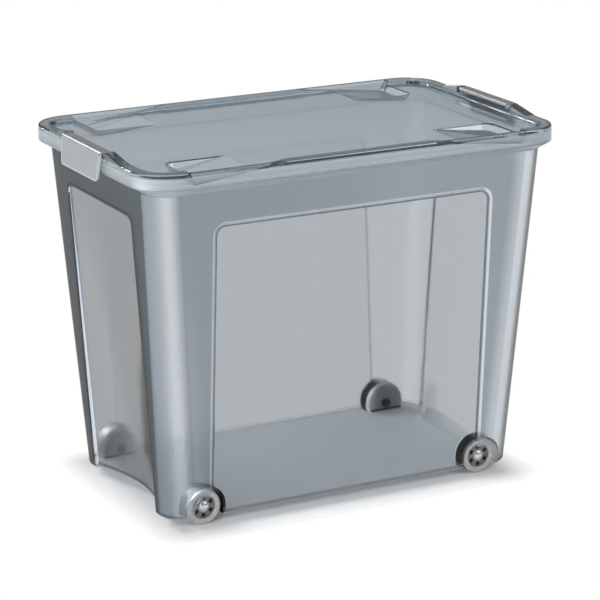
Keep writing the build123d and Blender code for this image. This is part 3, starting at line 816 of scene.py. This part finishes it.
def pin_colours(tree):
    """Bright plated steel with duller patches."""
    return blend_colour(tree, patches(tree, **PIN_PATCHES), PIN_COLOUR, PIN_DULL_COLOUR)


def cap_colours(tree):
    """Black plastic with slightly worn patches."""
    return blend_colour(tree, patches(tree, **CAP_PATCHES), CAP_COLOUR, CAP_WORN_COLOUR)


def body_holding(node):
    """The name of the body that carries a node."""
    bodies = frame["record"]["behaviour"]["bodies"]
    return next(body for body, nodes in bodies.items() if node in nodes)


def dress(node, material):
    """A copy of a node, with its smooth normals, that stands for it."""
    mesh = frame["nodes"][node].data.copy()
    mesh.name = f"{node}_moulding"
    mesh.materials.clear()
    mesh.materials.append(material)
    piece = bpy.data.objects.new(f"{node}_moulding", mesh)
    bpy.context.collection.objects.link(piece)
    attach(piece, body_holding(node))
    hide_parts(node)


def dress_box():
    """Every piece of the box in its finish."""
    clip_plastic = solid_finish("grey_clip_plastic", clip_colours, **CLIP_FINISH)
    wheel_plastic = solid_finish("warm_grey_wheel_plastic", wheel_colours, **WHEEL_FINISH)
    pin_steel = solid_finish("bright_pin_steel", pin_colours, **PIN_FINISH)
    cap_plastic = solid_finish("black_cap_plastic", cap_colours, **CAP_FINISH)
    dress("tub", smoked_plastic("smoked_tub_plastic", tub_zones, TUB_GLOSS))
    dress("lid", smoked_plastic("smoked_lid_plastic", lid_zones, LID_GLOSS))
    for end in ("left", "right"):
        dress(f"{end}_clip", clip_plastic)
        for side in ("front", "rear"):
            dress(f"{side}_{end}_wheel", wheel_plastic)
            dress(f"{side}_{end}_axle_pin", pin_steel)
            dress(f"{side}_{end}_axle_cap", cap_plastic)


def make_camera():
    """The camera at the photograph's viewpoint."""
    azimuth, elevation, roll = (
        math.radians(angle) for angle in (CAMERA_AZIMUTH, CAMERA_ELEVATION, CAMERA_ROLL)
    )
    right = Vector((math.cos(azimuth), math.sin(azimuth), 0))
    level_back = Vector((math.sin(azimuth), -math.cos(azimuth), 0))
    back = level_back * math.cos(elevation) + Vector((0, 0, math.sin(elevation)))
    up = back.cross(right)
    aim = Vector((0, 0, AIM_HEIGHT)) + right * AIM_RIGHT + up * AIM_UP
    turned_right = right * math.cos(roll) + up * math.sin(roll)
    turned_up = up * math.cos(roll) - right * math.sin(roll)
    data = bpy.data.cameras.new("photo_camera")
    data.lens = CAMERA_LENS
    data.sensor_width = CAMERA_SENSOR
    camera = bpy.data.objects.new("photo_camera", data)
    bpy.context.collection.objects.link(camera)
    turn = Matrix((turned_right, turned_up, back)).transposed().to_4x4()
    camera.matrix_world = Matrix.Translation(aim + back * CAMERA_DISTANCE) @ turn
    bpy.context.scene.camera = camera


def make_floor():
    """A white floor that keeps the shadow next to the box."""
    mesh = bpy.data.meshes.new("studio_floor")
    corners = [(x * FLOOR_REACH, y * FLOOR_REACH, 0) for x, y in ((-1, -1), (1, -1), (1, 1), (-1, 1))]
    mesh.from_pydata(corners, [], [(0, 1, 2, 3)])
    floor = bpy.data.objects.new("studio_floor", mesh)
    bpy.context.collection.objects.link(floor)
    material, tree = new_material("studio_floor")
    along, across, _ = folded_place(tree)
    past_x = calc(tree, "MAXIMUM", calc(tree, "SUBTRACT", along, FOOT_X - SHADOW_INSET), 0.0)
    past_y = calc(tree, "MAXIMUM", calc(tree, "SUBTRACT", across, FOOT_Y), 0.0)
    bare = fade_straight(tree, hypot(tree, past_x, past_y), 0.0, SHADOW_REACH)
    path = add_node(tree, "ShaderNodeLightPath")
    seen = either(tree, *(path.outputs[f"Is {kind} Ray"] for kind in ("Camera", "Glossy", "Transmission")))
    paint = add_node(tree, "ShaderNodeBsdfDiffuse", Color=FLOOR_WHITE)
    white = add_node(tree, "ShaderNodeEmission", Strength=FULL_WHITE)
    mix = add_node(tree, "ShaderNodeMixShader")
    out = add_node(tree, "ShaderNodeOutputMaterial")
    tree.links.new(both(tree, bare, seen), mix.inputs[0])
    tree.links.new(paint.outputs[0], mix.inputs[1])
    tree.links.new(white.outputs[0], mix.inputs[2])
    tree.links.new(mix.outputs[0], out.inputs["Surface"])
    mesh.materials.append(material)


def make_world():
    """A white room, full white where it is seen, that lights the box mostly from the sides and the rear."""
    world = bpy.data.worlds.new("studio")
    bpy.context.scene.world = world
    world.use_nodes = True
    tree = world.node_tree
    tree.nodes.clear()
    place = add_node(tree, "ShaderNodeTexCoord")
    split = add_node(tree, "ShaderNodeSeparateXYZ")
    tree.links.new(place.outputs["Generated"], split.inputs[0])
    light = blend(tree, fade(tree, split.outputs["Z"], *ZENITH_RANGE), HORIZON_LIGHT, ZENITH_LIGHT)
    light = both(tree, light, blend(tree, fade(tree, split.outputs["Y"], *FRONT_TO_REAR), FRONT_SHARE, 1.0))
    path = add_node(tree, "ShaderNodeLightPath")
    light = blend(tree, path.outputs["Is Glossy Ray"], light, REFLECTED_LIGHT)
    seen = either(tree, path.outputs["Is Camera Ray"], path.outputs["Is Transmission Ray"])
    background = add_node(tree, "ShaderNodeBackground")
    out = add_node(tree, "ShaderNodeOutputWorld")
    tree.links.new(blend(tree, seen, light, FULL_WHITE), background.inputs["Strength"])
    tree.links.new(background.outputs[0], out.inputs["Surface"])


def make_lamp(name, place, aim, size, power):
    """A square soft lamp aimed at a point."""
    data = bpy.data.lights.new(name, "AREA")
    data.size = size
    data.energy = power
    lamp = bpy.data.objects.new(name, data)
    bpy.context.collection.objects.link(lamp)
    lamp.location = place
    lamp.rotation_euler = (Vector(aim) - Vector(place)).to_track_quat("-Z", "Y").to_euler()


dress_box()
make_camera()
make_floor()
make_world()
make_lamp("left_softbox", **LEFT_SOFTBOX)
make_lamp("front_softbox", **FRONT_SOFTBOX)
make_lamp("rear_strip", **REAR_STRIP)

scene = bpy.context.scene
scene.view_settings.view_transform = "Standard"
scene.cycles.max_bounces = PLASTIC_BOUNCES
scene.cycles.transmission_bounces = PLASTIC_BOUNCES
scene.cycles.transparent_max_bounces = SHADOW_BOUNCES
